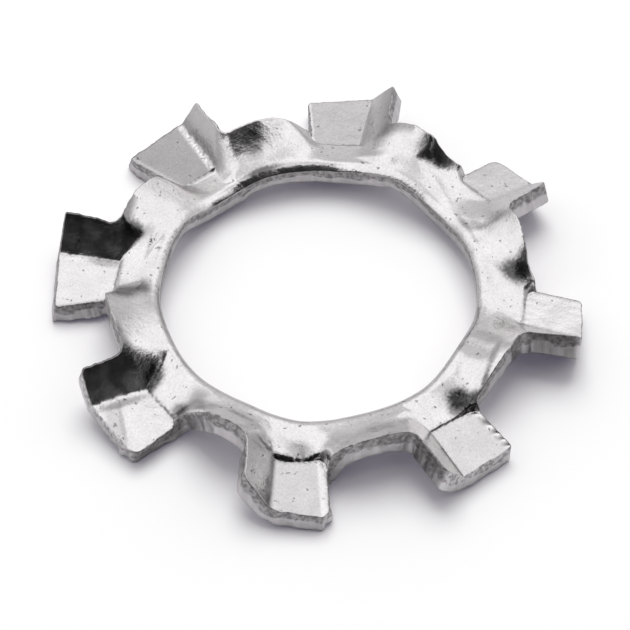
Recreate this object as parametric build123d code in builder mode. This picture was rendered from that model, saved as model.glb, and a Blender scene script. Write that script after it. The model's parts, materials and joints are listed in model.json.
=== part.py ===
from build123d import *
from math import cos, hypot, radians, sin, sqrt, tan
import os

# Toothed lock washer with external teeth, for an M6 screw: one stamping of spring steel. Eight
# teeth stand around a ring. Each is folded along a radial line into a flat coined pad, which the
# washer rests on, and a steep wing that bites upwards, and their twist draws the ring into a wave.
# Millimetres, +Z up. X runs out along one tooth's fold. The bore's axis is Z, and the washer rests
# on Z = 0. Until it is set down at the end, heights are counted from the bore's mean top edge.

# ---- driving dimensions ------------------------------------------------------------------------
bore_diameter = 6.5
ring_width = 1.09  # from the bore to the bottom of a gap between two teeth
outer_diameter = 10.85
sheet = 0.44  # thickness of the steel
tooth_count = 8

rim_width = 0.26  # nearly level band beside the bore
rim_wave = 0.065  # half the rise and fall of the bore's top edge
rim_crest = 28.5  # degrees past a fold, where that edge is highest
edge_rise = 0.185  # the ring's outer edge stands this much above the bore's, on average
edge_wave = 0.437  # half its rise and fall: low beside a pad, high in a gap
edge_crest = 28.9
edge_ripple = 0.058  # third harmonic, which flattens the trough beside a pad
ripple_crest = 5.7

root_inset = 0.18  # the step where a pad starts lies this far inside the bottom of a gap
pad_span = 13.6  # degrees from the fold to the pad's free side
pad_drop = 0.30  # the fold lies this much below the bore's top edge
pad_tilt = 5.0  # degrees, falling away from the fold
wing_width = 0.84
wing_angle = 52.0  # degrees up from level
fold_radius = 0.06  # on the upper side
root_radius = 0.20  # corners between the teeth and the bottom of a gap
tip_radius = 0.10  # outer corners of a tooth
die_roll = 0.08  # rounding of the bore's top edge, on the side the blanking punch went in

# ---- derived -----------------------------------------------------------------------------------
bore_radius = bore_diameter / 2
gap_radius = bore_radius + ring_width
outer_radius = outer_diameter / 2
pad_root = gap_radius - root_inset
pitch = 360 / tooth_count
wing_run = wing_width * cos(radians(wing_angle))
wing_rise = wing_width * sin(radians(wing_angle))
pad_slope = tan(radians(pad_span))
tall = 4 * (sheet + wing_rise + pad_drop)  # taller than the washer, for cutting through it


def radial_plane(angle):
    """Upright plane through the bore's axis: its X runs outward and its Y up."""
    outward = (cos(radians(angle)), sin(radians(angle)), 0)
    across = (sin(radians(angle)), -cos(radians(angle)), 0)
    return Plane(origin=(0, 0, 0), x_dir=outward, z_dir=across)


def on_circle(radius):
    """Test for a vertex that lies this far from the bore's axis."""
    return lambda vertex: abs(hypot(vertex.X, vertex.Y) - radius) < 0.001


def rim_top(angle):
    """Height of the ring's top face beside the bore."""
    return rim_wave * cos(radians(tooth_count * (angle - rim_crest)))


def edge_top(angle):
    """Height of the ring's top face at the gap circle."""
    wave = edge_wave * cos(radians(tooth_count * (angle - edge_crest)))
    ripple = edge_ripple * cos(radians(3 * tooth_count * (angle - ripple_crest)))
    return edge_rise + wave + ripple


def edge_depth(angle):
    """Upright thickness at the gap circle of a sheet that slopes both outward and around."""
    turn = 0.5
    climb = edge_top(angle + turn) - edge_top(angle - turn)
    around = climb / (radians(2 * turn) * gap_radius)
    outward = (edge_top(angle) - rim_top(angle)) / (gap_radius - bore_radius - rim_width)
    return sheet * sqrt(1 + around**2 + outward**2)


# ---- one pitch of the waved ring, lofted from crest to crest ---------------------------------------
stock = root_radius + 0.15  # extra inside the bore and outside the gap circle, cut away below
inner = bore_radius - stock
crease = bore_radius + rim_width
outer = gap_radius + stock
reach = (outer - crease) / (gap_radius - crease)
sections = 30

with BuildPart() as ring_pitch:
    for section in range(sections + 1):
        angle = edge_crest - pitch + section * pitch / sections
        rim = rim_top(angle)
        edge = rim + (edge_top(angle) - rim) * reach
        edge_under = edge - edge_depth(angle)
        with BuildSketch(radial_plane(angle)):
            with BuildLine():
                Bezier((inner, rim), (crease, rim), (outer, edge))
                Line((outer, edge), (outer, edge_under))
                Bezier((outer, edge_under), (crease, rim - sheet), (inner, rim - sheet))
                Line((inner, rim - sheet), (inner, rim))
            make_face()
    loft()

# ---- the ring's outline in plan: bore, gaps, and the stubs that the teeth grow from ----------------
stub_end = gap_radius + root_radius + 0.05

with BuildSketch() as stub:
    with BuildLine():
        stub_side = (stub_end, stub_end * pad_slope)
        Polyline((0, 0), stub_side, (stub_end, -wing_run), (0, -wing_run), close=True)
    make_face()

with BuildSketch() as outline:
    Circle(gap_radius)
    with PolarLocations(0, tooth_count):
        add(stub.sketch)
    fillet(outline.vertices().filter_by(on_circle(gap_radius)), root_radius)
    Circle(outer_radius, mode=Mode.INTERSECT)
    Circle(bore_radius, mode=Mode.SUBTRACT)

with BuildPart() as ring:
    with PolarLocations(0, tooth_count):
        add(ring_pitch.part)
    extrude(outline.sketch, amount=tall, both=True, mode=Mode.INTERSECT)
    bore_wall = ring.faces().filter_by(GeomType.CYLINDER).sort_by(SortBy.AREA)[-1]
    waved_edges = bore_wall.edges().filter_by(GeomType.LINE, reverse=True)
    fillet(waved_edges.filter_by(lambda edge: edge.center().Z > -sheet / 2), die_roll)

# ---- a tooth: the folded strip, and the punch that coins its root into the ring --------------------
wing_edge = (-wing_run, wing_rise - pad_drop)
fold = (0, -pad_drop)
pad_reach = outer_radius * pad_slope
pad_edge = (pad_reach, -pad_drop - pad_reach * tan(radians(pad_tilt)))
root_plane = Plane(origin=(pad_root, 0, 0), x_dir=(0, 1, 0), z_dir=(1, 0, 0))
tooth_length = outer_radius - pad_root

with BuildPart() as tooth:
    with BuildSketch(root_plane):
        with BuildLine():
            FilletPolyline(wing_edge, fold, pad_edge, radius=fold_radius)
            offset(amount=sheet, side=Side.RIGHT)
        make_face()
    extrude(amount=tooth_length)
    split(bisect_by=radial_plane(pad_span), keep=Keep.TOP)
    Cylinder(outer_radius, tall, mode=Mode.INTERSECT)
    tip_corners = tooth.faces().sort_by(Axis.X)[-1].edges().sort_by(Axis.Y)
    fillet([tip_corners[0], tip_corners[-1]], tip_radius)

with BuildPart() as punch:
    with BuildSketch(root_plane):
        with BuildLine():
            FilletPolyline(wing_edge, fold, pad_edge, radius=fold_radius)
            Polyline(pad_edge, (pad_edge[0], tall), (wing_edge[0], tall), wing_edge)
        make_face()
    extrude(amount=tooth_length)
    split(bisect_by=radial_plane(pad_span), keep=Keep.TOP)

# ---- the washer: ring and teeth as one piece, set down on the pads' corners ------------------------
with BuildPart() as stamping:
    add(ring.part)
    with PolarLocations(0, tooth_count):
        add(punch.part, mode=Mode.SUBTRACT)
    with PolarLocations(0, tooth_count):
        add(tooth.part)

with BuildPart() as washer:
    with Locations((0, 0, -stamping.part.bounding_box().min.Z)):
        add(stamping.part)

washer.part.label = "washer"
os.makedirs("parts", exist_ok=True)
export_step(washer.part, "parts/washer.step")
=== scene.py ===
"""Looks of the toothed lock washer: a fine mesh of the stamping, its steel, a pale floor and soft light."""
import json
import math
from dataclasses import dataclass

import bpy
import numpy as np
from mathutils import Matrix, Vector
from mathutils.geometry import delaunay_2d_cdt
from mathutils.kdtree import KDTree


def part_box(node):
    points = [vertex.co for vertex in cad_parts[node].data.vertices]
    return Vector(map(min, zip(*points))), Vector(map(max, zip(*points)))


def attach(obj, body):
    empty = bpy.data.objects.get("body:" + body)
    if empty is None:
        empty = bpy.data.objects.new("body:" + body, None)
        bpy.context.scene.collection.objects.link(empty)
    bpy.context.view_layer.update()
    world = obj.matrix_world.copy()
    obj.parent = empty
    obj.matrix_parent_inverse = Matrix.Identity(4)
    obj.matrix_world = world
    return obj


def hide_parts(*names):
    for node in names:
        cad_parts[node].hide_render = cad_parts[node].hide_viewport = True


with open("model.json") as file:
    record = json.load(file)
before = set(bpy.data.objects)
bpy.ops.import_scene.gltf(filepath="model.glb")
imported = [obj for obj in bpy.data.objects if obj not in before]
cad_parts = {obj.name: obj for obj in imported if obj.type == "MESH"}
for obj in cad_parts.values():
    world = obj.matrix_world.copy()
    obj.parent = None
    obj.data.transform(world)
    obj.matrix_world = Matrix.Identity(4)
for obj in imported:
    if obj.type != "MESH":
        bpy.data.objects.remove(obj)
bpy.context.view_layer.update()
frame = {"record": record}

# All shapes below are worked out in millimetres in the part's frame, with heights counted from the
# bore's mean top edge, as in the CAD source, and turned into metres when the mesh is made.
MM = 0.001
box_low, box_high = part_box("washer")
bore_mount = next(m for m in frame["record"]["mounts"] if m["kind"] == "bore")
BORE_RADIUS = bore_mount["dims"]["r_mm"]
OUTER_RADIUS = box_high.x / MM
RIM_HEIGHT = 0.851  # the bore's mean top edge above the ground

# ---- sizes that the whole stamping shares --------------------------------------------------------
TEETH = 8
PITCH = 360 / TEETH
FIRST_FOLD = 90.0  # direction of tooth 0's fold; the rest follow counter-clockwise
GAP_RADIUS = 4.34  # bottom of the gaps between the teeth
GAP_FILLET = 0.20  # between the gap and a wing
SHEET = 0.44

CREASE_RADIUS = 3.46  # the ring starts to rise outwards here
CREASE_WIDTH = 0.11
RISE_POWER = 1.35  # above 1, the ring steepens towards its outer edge
RIM_TROUGH = 6.0  # degrees past a fold, where the bore's edge is lowest
RIM_CREST = 28.5  # and highest
EDGE_TROUGH = 6.5  # the same for the ring's outer edge
EDGE_CREST = 29.0
EDGE_LOW = 0.14  # height that the outer edge would have beside a tooth without its dish
CREST_FADE = 5.0  # degrees over which a dish ends at the crests beside it

ROLL_RUN = 0.20  # die roll round the bore: how far it reaches outwards
ROLL_DEPTH = 0.12  # and downwards
EDGE_ROUNDING = 0.025  # of the outer outline, on top
UNDER_ROUNDING = 0.045  # and of both outlines, below
FOLD_CORNER = 0.5  # rounding in plan where the fold meets the tip

LIP_RUN = 0.22  # how far outwards a dish's lip runs down
BRINK_POWER = 2.2  # above 1, the rolled edge over a pad's root is steepest at the pad
FLOOR_BLEND = 0.04  # height over which a dish's floor meets the ring, save for a tooth's own value
WING_BLEND = 0.16  # and over which a wing meets it
RIDGE_WIDTH = 0.15  # of the bead beside a fold
BUMP_INSET = 0.07  # the crushed bumps' row lies this far inside a pad's free side
BUMP_WIDTH = 0.08
BUMP_PITCH = 0.24
SIDE_EASE = 0.4  # share of its slope that a dish's side has near the bore

UNDER_SOFT = 0.30  # height over which the underside's creases are rounded, more than on top
SOFT_STEP = 0.5  # and its steps are spread over this much more
TOOTH_LEAN = 0.5  # a tooth's cut faces lean this share of the way from upright to square with the sheet
GAP_LEAN = 0.1  # and those in the gaps

ROOT_JITTER = 0.010  # the line of a pad's step wanders this much
JITTER_REACH = 0.06  # and the faces follow it for this far
OUTLINE_JITTER = 0.007  # the blanked edge wanders this much
WOBBLE = 0.004  # unevenness of the sheet's top face


@dataclass
class Tooth:
    """One tooth's own sizes in mm and degrees. Root and tip are distances from the axis along the fold.
    A pair holds the value at the root and the value at the tip, save where its comment says otherwise."""

    # where it stands, and its outline in plan
    turn: float = 0.0  # off its even place, counter-clockwise
    skew: float = 0.0  # the fold's lean from radial
    root: float = 4.18  # step at the fold, where the pad starts
    tip: float = 5.43  # outer end of the fold
    pad_tip: float = 5.25  # the pad's outer corner
    wing_root: float = 4.40  # where the wing leaves the ring
    wing_tip: float = 5.35  # the wing's outer corner
    pad_corner: float = 0.08  # rounding of that corner
    wing_corner: float = 0.10
    fillet: float = 0.20  # between the gap and the pad's free side
    gap: float = GAP_RADIUS  # bottom of the gap after it
    ear: float = 0.0  # that bottom lies this much further out beside the pad
    ear_run: float = 0.7  # and takes this far to come back to the gap's circle
    flare: tuple = (0.04, 0.08)  # the underside reaches this much further out: beside the pad, at the tip

    # the fold, the pad and the wing
    drop: tuple = (0.29, 0.28)  # the fold below the bore's edge
    pad: tuple = (0.98, 1.28)  # the pad's width
    tilt: tuple = (4.0, 6.0)  # the pad falls away from the fold
    wing: tuple = (0.84, 0.84)  # the wing's width
    rise: tuple = (51.0, 53.0)  # the wing's angle
    slack: float = 0.0  # degrees a mm: how fast the wing flattens inwards from the root
    fold_blend: float = 0.03  # height over which the fold is rounded
    ridge: float = 0.0  # height of the bead that coining has raised beside the fold
    bevel: tuple = (0.05, 0.02)  # along the pad's free side: its width and its depth
    serration: float = 0.0  # height of the crushed bumps along the pad's free side

    # the step at the pad's root
    root_lean: float = 0.0  # how much further out it is at the pad's free side
    root_bow: float = 0.0  # and how much further out in the middle than straight
    root_corner: float = 0.22  # its rounding in plan, at the free side
    brink: tuple = (0.12,) * 5  # how far back the ring rolls over, from the fold to the free side

    # the dish pressed into the ring
    dish_start: tuple = (0.0, 0.0)  # this far outside the ring's crease: at the fold, at the free side
    floor_slope: float = 12.0  # degrees, between rim and pad
    lip: float = 0.0  # it starts with a steeper lip of this depth
    floor_blend: float = FLOOR_BLEND
    side_slope: float = 42.0  # degrees, of its side away from the wing
    side_start: float = 0.12  # that side starts this far inside the pad's free side
    side_splay: float = 0.0  # and that start moves this much, a mm outwards, towards the gap
    side_steepens: tuple = (3.62, 4.15)  # and steepens between these distances from the axis
    foot_blend: float = 0.12  # height over which the side meets the floor
    side_blend: float = 0.10  # and the ring
    inner_blend: float = 0.2  # height over which wing and dish meet, further in than the root
    wing_blend: float = WING_BLEND  # height over which the wing meets the ring, inside the gap's circle

    # the waved ring from this tooth to the next
    rim: tuple = (-0.08, 0.09)  # the bore's edge: beside this tooth, in the gap after it
    crest: float = 0.60  # the outer edge in that gap

    # painted light and shade, as a share of the plain steel's brightness, standing in for reflections and
    # shade
    pad_tone: float = 1.0
    root_tone: float = 0.6  # painted shade in the crease along the pad's root
    crease_run: float = 0.035  # half that crease's width, in mm
    fold_tone: float = 1.0
    bevel_tone: float = 1.0
    side_tone: float = 1.0  # painted shade on the dish's side beside the pad's root
    wing_tone: tuple = (1.0, 1.0)  # painted light and shade on the wing: beside the fold, at its edge
    cut_tone: tuple = (1.0, 1.0, 1.0)  # painted shade and reflections on the cut faces: the wing's, the tip's, the pad's


TOOTH = [
    Tooth(
        skew=-0.7, root=4.17, tip=5.49, wing_root=4.44, wing_tip=5.42, flare=(0.05, 0.04),
        drop=(0.29, 0.26), pad=(1.02, 1.36), tilt=(6.4, 6.7), wing=(0.86, 0.84), rise=(49.5, 54.6),
        slack=10.0, bevel=(0.06, 0.02),
        root_lean=-0.10, root_corner=0.08,
        lip=0.06, inner_blend=0.3, wing_blend=0.3,
        rim=(-0.03, -0.02), crest=0.50,
        pad_tone=0.69, bevel_tone=1.5, wing_tone=(1.05, 0.5),
    ),
    Tooth(
        turn=-0.8, skew=-1.2, root=4.11, tip=5.52, pad_tip=5.37, wing_root=4.47, wing_tip=5.33,
        wing_corner=0.16, flare=(0.07, 0.16),
        drop=(0.30, 0.27), pad=(0.87, 1.37), tilt=(4.5, 6.3), wing=(0.81, 0.84), rise=(64.6, 69.0),
        slack=12.0, ridge=0.035, bevel=(0.10, 0.01),
        root_lean=-0.06, root_corner=0.12,
        lip=0.05, wing_blend=0.40,
        rim=(-0.20, 0.15),
        pad_tone=0.50, fold_tone=0.7, bevel_tone=1.4, side_tone=0.75, wing_tone=(0.8, 0.95),
        cut_tone=(0.8, 0.6, 1.0),
    ),
    Tooth(
        turn=-0.3, skew=0.8, root=4.20, tip=5.50, pad_tip=5.26, wing_root=4.46, wing_tip=5.47,
        wing_corner=0.06, fillet=0.06, ear=0.03, flare=(0.08, 0.10),
        drop=(0.28, 0.31), pad=(0.97, 1.33), tilt=(3.0, 4.2), wing=(0.86, 0.96), rise=(51.0, 51.0),
        slack=20.0, ridge=0.01,
        root_lean=-0.04,
        dish_start=(0.05, 0.12), lip=0.04, side_slope=48.0, inner_blend=0.35, wing_blend=0.08,
        rim=(-0.05, 0.12), crest=0.57,
        pad_tone=0.98, fold_tone=0.8, side_tone=0.3, wing_tone=(1.0, 0.35), cut_tone=(0.08, 1.0, 0.75),
    ),
    Tooth(
        turn=1.4, skew=-6.3, root=4.19, tip=5.42, pad_tip=5.29, wing_root=4.35, pad_corner=0.22,
        wing_corner=0.16, fillet=0.08, gap=4.24, ear=-0.08, ear_run=0.9, flare=(0.0, -0.02),
        drop=(0.39, 0.18), pad=(1.03, 1.36), tilt=(1.3, 8.7), wing=(0.95, 0.87), rise=(46.0, 50.0),
        slack=-4.0, ridge=0.02,
        root_lean=-0.06, brink=(0.06,) * 5,
        floor_slope=16.0, lip=0.14, floor_blend=0.12, side_slope=45.0, side_start=0.14, side_blend=0.2,
        inner_blend=0.05, wing_blend=0.20,
        rim=(-0.03, 0.05), crest=0.74,
        root_tone=0.35, side_tone=0.6, wing_tone=(1.0, 0.35), cut_tone=(0.08, 1.6, 0.8),
    ),
    Tooth(
        turn=0.3, skew=7.6, root=4.27, tip=5.47, pad_tip=5.37, wing_root=4.32, wing_tip=5.18,
        pad_corner=0.26, wing_corner=0.22, flare=(-0.06, 0.05),
        drop=(0.26, 0.31), pad=(1.04, 1.20), tilt=(2.1, 5.9), wing=(0.86, 0.80), rise=(47.5, 45.0),
        fold_blend=0.08, bevel=(0.21, 0.03),
        root_lean=-0.29, root_bow=0.08, brink=(0.12, 0.15, 0.30, 0.15, 0.12),
        floor_slope=4.0, inner_blend=0.06,
        rim=(-0.12, -0.01), crest=0.50,
        pad_tone=0.80, root_tone=0.25, crease_run=0.06, fold_tone=0.45, bevel_tone=1.3,
        wing_tone=(0.6, 0.85), cut_tone=(1.0, 1.0, 1.5),
    ),
    Tooth(
        turn=-0.3, skew=-2.0, root=4.15, tip=5.39, wing_tip=5.49, pad_corner=0.14, wing_corner=0.2,
        fillet=0.08, ear=-0.11, ear_run=1.1, flare=(0.0, 0.02),
        drop=(0.29, 0.34), pad=(1.14, 1.29), tilt=(2.0, 4.0), wing=(0.83, 0.83), rise=(51.0, 54.0),
        slack=8.0, serration=0.03,
        root_lean=-0.04, brink=(0.03,) * 5,
        floor_slope=18.0, floor_blend=0.15, side_slope=32.0, side_start=0.1, side_steepens=(3.4, 4.15),
        foot_blend=0.25, side_blend=0.16, wing_blend=0.40,
        rim=(-0.04, 0.26),
        pad_tone=0.85, root_tone=0.45, crease_run=0.025, wing_tone=(0.8, 0.85),
        cut_tone=(0.6, 1.5, 1.0),
    ),
    Tooth(
        turn=1.3, skew=-4.5, root=4.25, tip=5.48, pad_tip=5.33, wing_root=4.28, wing_tip=5.48,
        pad_corner=0.2, wing_corner=0.2, fillet=0.06, ear=0.12, ear_run=0.35, flare=(0.04, -0.02),
        drop=(0.22, 0.29), pad=(1.00, 1.09), tilt=(5.5, 7.8), wing=(0.85, 0.84), rise=(42.5, 55.0),
        slack=8.0,
        root_lean=-0.06,
        lip=0.03, floor_blend=0.12, side_slope=40.0, side_start=0.05, side_steepens=(3.45, 4.2),
        foot_blend=0.3, side_blend=0.25, wing_blend=0.40,
        rim=(-0.03, 0.08), crest=0.58,
        pad_tone=1.1, cut_tone=(0.5, 1.2, 1.15),
    ),
    Tooth(
        turn=1.7, skew=-3.7, root=4.37, tip=5.40, wing_root=4.39, wing_tip=5.40, pad_corner=0.3,
        wing_corner=0.25, fillet=0.04, ear=0.16, ear_run=0.35, flare=(0.04, 0.02),
        drop=(0.21, 0.28), pad=(0.95, 1.08), tilt=(6.4, 8.6), wing=(0.85, 0.84), rise=(42.0, 49.6),
        slack=30.0,
        root_lean=-0.15,
        dish_start=(0.0, 0.3), floor_slope=6.0, lip=0.09, side_slope=48.0, side_start=-0.04,
        side_splay=-0.3, foot_blend=0.3, side_blend=0.06, wing_blend=0.05,
        rim=(-0.05, 0.18), crest=0.67,
        pad_tone=1.05, wing_tone=(1.1, 1.2),
    ),
]


@dataclass
class Spot:
    """A soft spot on a tooth or on the ring beside it, placed in that tooth's own axes: a swelling or a
    hollow, as its height says, and painted shade, standing in for a dark reflection, where its painted
    light is below 1."""

    tooth: int
    out: float
    across: float
    length: float  # half its size along its turn
    width: float  # half its size across that
    turn: float = 0.0  # degrees from the fold's direction, counter-clockwise
    height: float = 0.0
    tone: float = 1.0


SPOTS = [
    # painted dark reflections: on the slope before tooth 1, and in a band along the bore
    Spot(tooth=1, out=3.92, across=-0.84, length=0.25, width=0.22, tone=0.4),
    Spot(tooth=1, out=3.32, across=-0.72, length=0.38, width=0.07, turn=77.0, tone=0.3),
    # painted shade on tooth 2's fold, and painted dark reflections at the ends of the slopes on both its
    # sides
    Spot(tooth=2, out=4.50, across=0.06, length=0.35, width=0.09, turn=1.0, tone=0.6),
    Spot(tooth=2, out=3.98, across=-0.52, length=0.20, width=0.16, tone=0.25),
    Spot(tooth=2, out=3.95, across=0.98, length=0.34, width=0.28, tone=0.33),
    # painted shade on tooth 3's fold and in a crease across its pad and on the corner beyond, and painted
    # dark reflections on the slopes beside it
    Spot(tooth=3, out=4.80, across=0.03, length=0.55, width=0.08, turn=-6.0, tone=0.5),
    Spot(tooth=3, out=5.10, across=0.48, length=0.55, width=0.05, turn=66.0, height=-0.03, tone=0.72),
    Spot(tooth=3, out=5.22, across=0.38, length=0.45, width=0.16, turn=66.0, tone=0.8),
    Spot(tooth=3, out=3.95, across=-0.13, length=0.26, width=0.18, turn=24.0, tone=0.15),
    Spot(tooth=3, out=4.15, across=0.01, length=0.11, width=0.09, tone=0.3),
    Spot(tooth=3, out=3.96, across=0.80, length=0.14, width=0.15, tone=0.4),
    Spot(tooth=3, out=3.65, across=0.96, length=0.30, width=0.16, turn=60.0, tone=0.80),
    # swellings, and a hollow with painted shade, at tooth 4's root, and painted shade in a crease beside
    # its wing
    Spot(tooth=4, out=3.72, across=0.12, length=0.22, width=0.18, height=0.025),
    Spot(tooth=4, out=3.66, across=0.84, length=0.22, width=0.18, height=0.022),
    Spot(tooth=4, out=4.00, across=0.43, length=0.17, width=0.26, height=-0.022, tone=0.6),
    Spot(tooth=4, out=4.14, across=-0.20, length=0.22, width=0.035, turn=68.0, tone=0.35),
    # painted dark reflections on the slope after tooth 5
    Spot(tooth=5, out=3.88, across=0.88, length=0.29, width=0.20, turn=36.0, height=-0.01, tone=0.1),
    Spot(tooth=5, out=3.97, across=0.68, length=0.15, width=0.13, tone=0.4),
    Spot(tooth=5, out=4.06, across=1.18, length=0.16, width=0.12, turn=40.0, tone=0.15),
    Spot(tooth=5, out=3.96, across=1.39, length=0.27, width=0.05, turn=125.0, tone=0.3),
    # painted dark reflection on the slope after tooth 6, and painted shade in bands before it
    Spot(tooth=6, out=3.89, across=1.15, length=0.30, width=0.21, turn=-12.0, height=-0.01, tone=0.20),
    Spot(tooth=6, out=3.45, across=-1.27, length=0.42, width=0.17, turn=-25.0, tone=0.6),
    Spot(tooth=6, out=3.84, across=-1.38, length=0.35, width=0.07, turn=78.0, tone=0.55),
    Spot(tooth=6, out=3.62, across=-0.86, length=0.35, width=0.18, turn=-20.0, tone=0.78),
    # painted dark reflection on the slope after tooth 7, and painted shade in hollows before it
    Spot(tooth=7, out=3.92, across=1.43, length=0.34, width=0.22, turn=-47.0, tone=0.45),
    Spot(tooth=7, out=3.56, across=-0.45, length=0.30, width=0.12, turn=-60.0, height=-0.01, tone=0.65),
    Spot(tooth=7, out=3.85, across=-0.68, length=0.30, width=0.12, turn=-14.0, height=-0.01, tone=0.75),
]


# ---- small helpers -------------------------------------------------------------------------------
def smooth_min(a, b, width):
    """The lower of two surfaces, with their meeting line rounded over this much height."""
    near = np.maximum(width - np.abs(a - b), 0)
    return np.minimum(a, b) - near * near / (4 * width)


def smooth_max(a, b, width):
    return -smooth_min(-a, -b, width)


def along(pair, share):
    """A pair's value at this share of the way from its first to its second, and past both ends."""
    return pair[0] + (pair[1] - pair[0]) * share


def tan_deg(angle):
    return np.tan(np.radians(angle))


def smooth_step(low, high, value):
    """Goes from 0 to 1 as value goes from low to high, level at both ends."""
    share = np.clip((value - low) / (high - low), 0, 1)
    return share * share * (3 - 2 * share)


RIPPLE_WAVES = 20


def ripple(x, y, length, seed):
    """Smooth random field over the plan, about -1 to 1, with waves of about this length in mm."""
    draw = np.random.default_rng(seed)
    result = np.zeros_like(x)
    for _ in range(RIPPLE_WAVES):
        turn, stretch, phase = draw.uniform(0, np.pi), draw.uniform(0.6, 1.7), draw.uniform(0, 2 * np.pi)
        result += np.cos((x * np.cos(turn) + y * np.sin(turn)) * 2 * np.pi * stretch / length + phase)
    return result * math.sqrt(2 / RIPPLE_WAVES) * 0.7


def fold_angle(k):
    return FIRST_FOLD + k * PITCH


def past_fold(degrees, k):
    """How far an angle lies past tooth k's fold, from -180 to 180."""
    return (degrees - fold_angle(k) + 180) % 360 - 180


def wave(degrees, stations):
    """Height at an angle from (angle, height) stations once round, eased from each to the next."""
    angles = np.array([a for a, _ in stations])
    heights = np.array([h for _, h in stations])
    order = np.argsort(angles % 360)
    angles, heights = (angles % 360)[order], heights[order]
    angles = np.append(angles, angles[0] + 360)
    heights = np.append(heights, heights[0])
    turned = angles[0] + (degrees - angles[0]) % 360
    i = np.clip(np.searchsorted(angles, turned, side="right") - 1, 0, len(angles) - 2)
    share = (turned - angles[i]) / (angles[i + 1] - angles[i])
    ease = (1 - np.cos(np.pi * share)) / 2
    return heights[i] + (heights[i + 1] - heights[i]) * ease


RIM_STATIONS, EDGE_STATIONS = [], []
for k, tooth in enumerate(TOOTH):
    RIM_STATIONS += [(fold_angle(k) + RIM_TROUGH, tooth.rim[0]), (fold_angle(k) + RIM_CREST, tooth.rim[1])]
    EDGE_STATIONS += [(fold_angle(k) + EDGE_TROUGH, EDGE_LOW), (fold_angle(k) + EDGE_CREST, tooth.crest)]


# ---- the top face as a height over the plan ------------------------------------------------------
def rim_height(degrees):
    return wave(degrees, RIM_STATIONS)


def ring_height(radius, degrees):
    """The waved ring without its dishes: a level rim, then a rise to the outer edge."""
    rim = rim_height(degrees)
    out = (radius - CREASE_RADIUS) / CREASE_WIDTH
    rise = (CREASE_WIDTH * np.logaddexp(0, out) / (GAP_RADIUS - CREASE_RADIUS)) ** RISE_POWER
    return rim + (wave(degrees, EDGE_STATIONS) - rim) * rise


def to_local(k, x, y):
    """Plan point in tooth k's own axes: along its fold, and across it, counter-clockwise positive."""
    a = math.radians(fold_angle(k) + TOOTH[k].turn)
    return x * math.cos(a) + y * math.sin(a), y * math.cos(a) - x * math.sin(a)


def to_plan(k, out, across):
    """Plan point at this place in tooth k's own axes."""
    a = math.radians(fold_angle(k) + TOOTH[k].turn)
    return out * math.cos(a) - across * math.sin(a), out * math.sin(a) + across * math.cos(a)


def pitches(x, y, degrees):
    """Each tooth, which points lie in its pitch, how far past its fold, and their places in its axes."""
    for k, tooth in enumerate(TOOTH):
        past = past_fold(degrees, k)
        here = (past >= EDGE_CREST - PITCH) & (past < EDGE_CREST)
        out, across = to_local(k, x[here], y[here])
        yield tooth, here, past[here], out, across


def fold_across(tooth, out):
    return (out - tooth.root) * tan_deg(tooth.skew)


def share_out(tooth, out):
    return (out - tooth.root) / (tooth.tip - tooth.root)


def side_share(start, end, out):
    """How far out along a tooth's side a point lies: 0 at its start, 1 at its end, and beyond."""
    return np.clip((out - start) / (end - start), -0.6, 1.2)


def pad_side(tooth, out):
    """Where the pad's free side lies across the tooth, at this distance out."""
    share = side_share(tooth.root, tooth.pad_tip, out)
    width = along(tooth.pad, share) * np.cos(np.radians(along(tooth.tilt, share)))
    return fold_across(tooth, out) + width


def wing_side(tooth, out):
    share = side_share(tooth.wing_root, tooth.wing_tip, out)
    width = along(tooth.wing, share) * np.cos(np.radians(along(tooth.rise, share)))
    return fold_across(tooth, out) - width


def bumps(out, inward):
    """Crushed bumps in a row along a pad's free side: 1 on a bump, 0 off the row."""
    row = np.exp(-((inward - BUMP_INSET) / BUMP_WIDTH) ** 2)
    return row * (0.5 + 0.5 * np.cos(2 * np.pi * out / BUMP_PITCH + 2 * np.sin(5 * out)))


def fold_height(tooth, out):
    """Height of the fold, which goes on straight a little past both its ends."""
    return -along(tooth.drop, np.clip(share_out(tooth, out), -0.5, 1.3))


def pad_height(tooth, out, across):
    beside = across - fold_across(tooth, out)
    tilt = along(tooth.tilt, np.clip(share_out(tooth, out), 0, 1))
    plane = fold_height(tooth, out) - beside * tan_deg(tilt)
    bead = tooth.ridge * smooth_step(RIDGE_WIDTH, 0, beside) * (1 + 0.5 * ripple(out, across, 0.22, 7))
    width, depth = tooth.bevel
    inward = pad_side(tooth, out) - across
    edge = depth * np.clip(1 - inward / width, 0, 1.3)
    return plane + bead - edge + tooth.serration * bumps(out, inward)


def wing_height(tooth, out, across):
    rise = along(tooth.rise, np.clip(share_out(tooth, out), 0, 1))
    rise = rise - tooth.slack * np.maximum(tooth.root - out, 0)
    return fold_height(tooth, out) + (fold_across(tooth, out) - across) * tan_deg(rise)


def root_share(tooth, out, across):
    """How far across the pad's root a point lies: 0 at the fold, 1 at the free side."""
    return np.clip((across - fold_across(tooth, out)) / tooth.pad[0], 0, 1)


def root_line(tooth, share):
    """How far out the step at the pad's root lies, at this share of the way across."""
    return tooth.root + tooth.root_lean * share + tooth.root_bow * 4 * share * (1 - share)


def brink_width(tooth, out, across):
    """How far back the ring rolls over beside the pad's step, at this place across the root."""
    place = root_share(tooth, out, across) * (len(tooth.brink) - 1)
    before = np.minimum(place.astype(int), len(tooth.brink) - 2)
    widths = np.array(tooth.brink)
    return widths[before] + (widths[before + 1] - widths[before]) * smooth_step(0, 1, place - before)


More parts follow.
